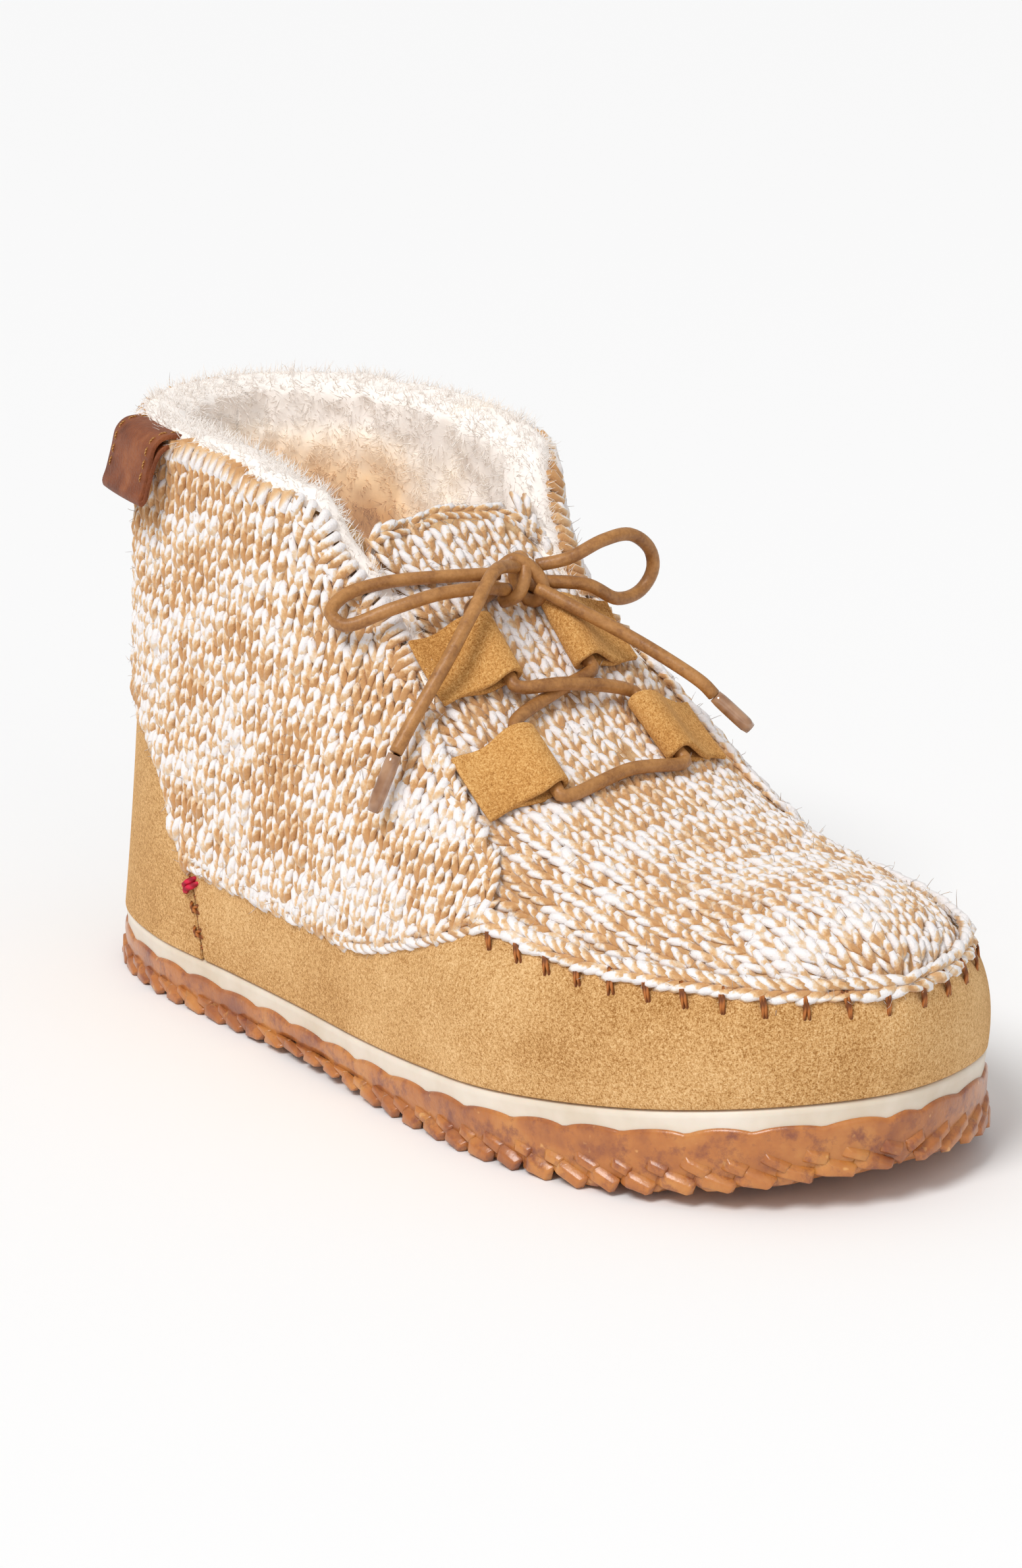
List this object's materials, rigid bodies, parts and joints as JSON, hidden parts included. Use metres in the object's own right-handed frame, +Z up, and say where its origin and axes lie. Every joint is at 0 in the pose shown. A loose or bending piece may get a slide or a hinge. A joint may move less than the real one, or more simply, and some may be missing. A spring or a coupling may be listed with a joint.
{
  "type": "slipper boot",
  "caption": "Ankle-high slipper boot with a chunky knitted upper, fleece lining, tan suede rand and heel counter, laced front, pull tab and a gum sole with scalloped side lugs.",
  "frame": {"origin": "on the floor under the middle of the boot's bounding box", "axes": "+X from heel to toe, +Y to the inner side of the foot, +Z up"},
  "size_m": [0.258, 0.1073, 0.1322],
  "materials": {
    "gum_rubber": "glossy mottled gum",
    "cream_foam": "satin",
    "fleece": "fluffy pile",
    "knit": "chunky marled knit",
    "suede": "napped suede",
    "strap_leather": "smooth waxed leather",
    "lace": "waxed round cord",
    "aglet_plastic": "clear film"
  },
  "bodies": {
    "root": {"outsole": "gum_rubber", "midsole": "cream_foam", "insole": "fleece", "upper": "knit", "tongue": "knit", "heel_counter": "suede", "rand": "suede", "pull_tab": "strap_leather", "lace_tab_lower_lateral": "suede", "lace_tab_upper_lateral": "suede", "lace_tab_lower_medial": "suede", "lace_tab_upper_medial": "suede", "lace_bars": "lace", "lace_knot": "lace", "lace_loop_lateral": "lace", "lace_loop_medial": "lace", "lace_end_lateral": "lace", "lace_end_medial": "lace", "aglet_lateral": "aglet_plastic", "aglet_medial": "aglet_plastic"}
  },
  "joints": []
}
